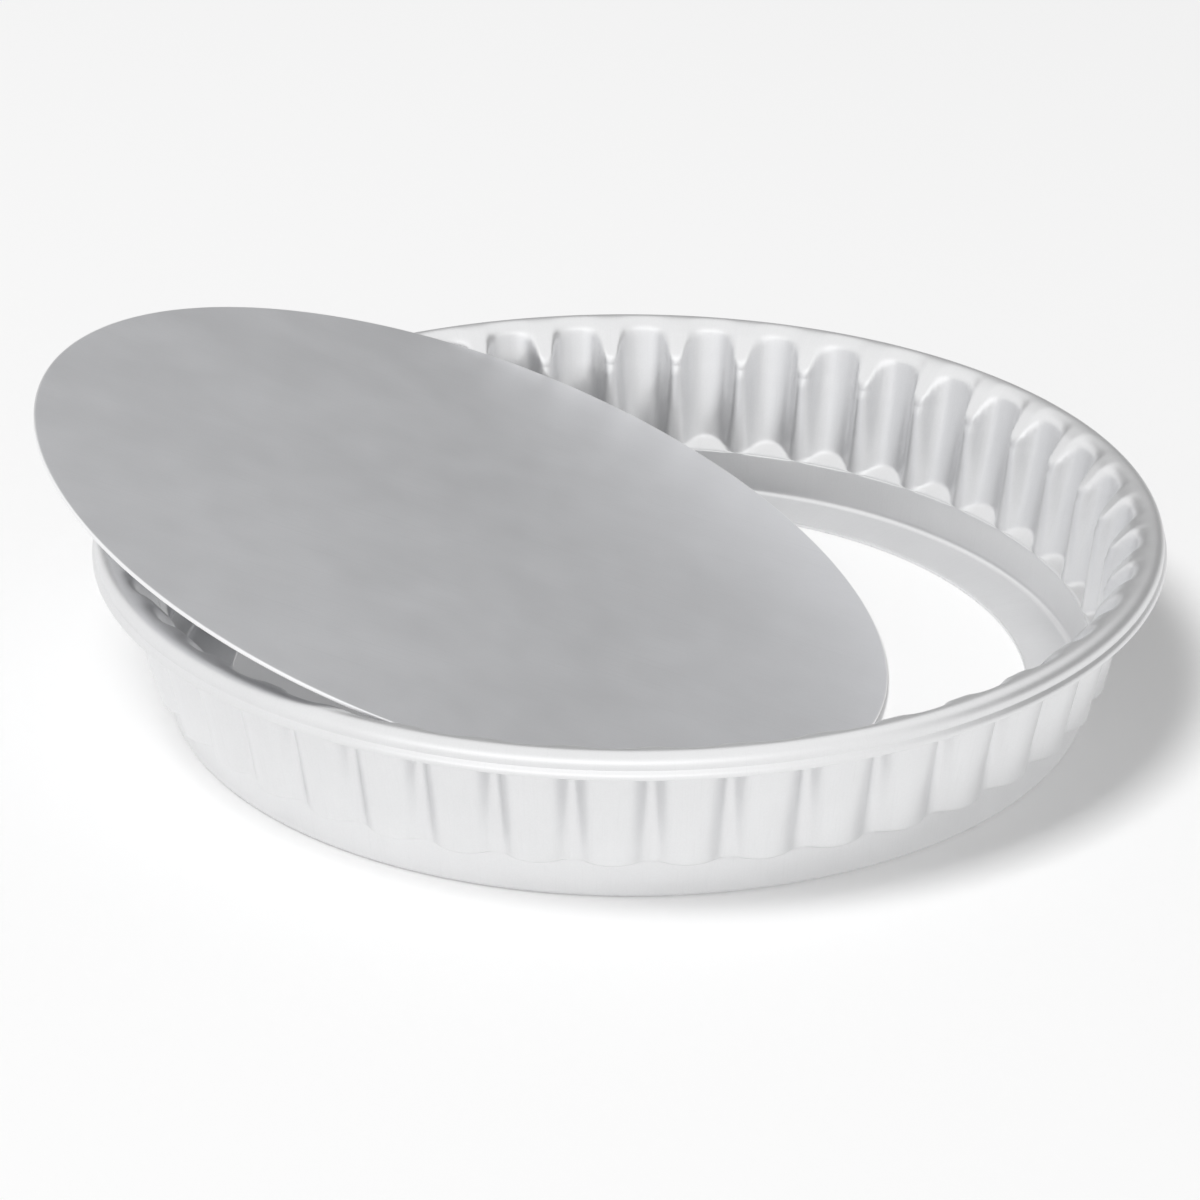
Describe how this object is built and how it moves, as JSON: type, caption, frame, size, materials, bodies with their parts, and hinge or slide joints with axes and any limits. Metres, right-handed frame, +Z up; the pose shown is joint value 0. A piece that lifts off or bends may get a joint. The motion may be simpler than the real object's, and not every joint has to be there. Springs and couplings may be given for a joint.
{
  "type": "fluted quiche tin",
  "caption": "Round fluted quiche tin of satin aluminium, a flared ring with a rolled rim and an open floor, with its flat loose base leaning in it.",
  "frame": {"origin": "on the ring's axis, at the centre of the round floor opening, at the level of the table", "axes": "+Z up along the ring's axis; -X is the side that the loose base leans out over, turned 2.3 degrees from it; -Y faces the picture's viewer"},
  "size_m": [0.2683, 0.256, 0.0737],
  "materials": {
    "ring_aluminium": "satin anodised",
    "base_aluminium": "satin, fine rolled grain"
  },
  "bodies": {
    "ring": {"fluted_ring": "ring_aluminium"},
    "base": {"loose_base": "base_aluminium"}
  },
  "joints": [
    {"name": "base_lift", "type": "slide", "parent": "ring", "child": "base", "axis": [0, 0, 1], "range_m": [0, 0.055]}
  ]
}
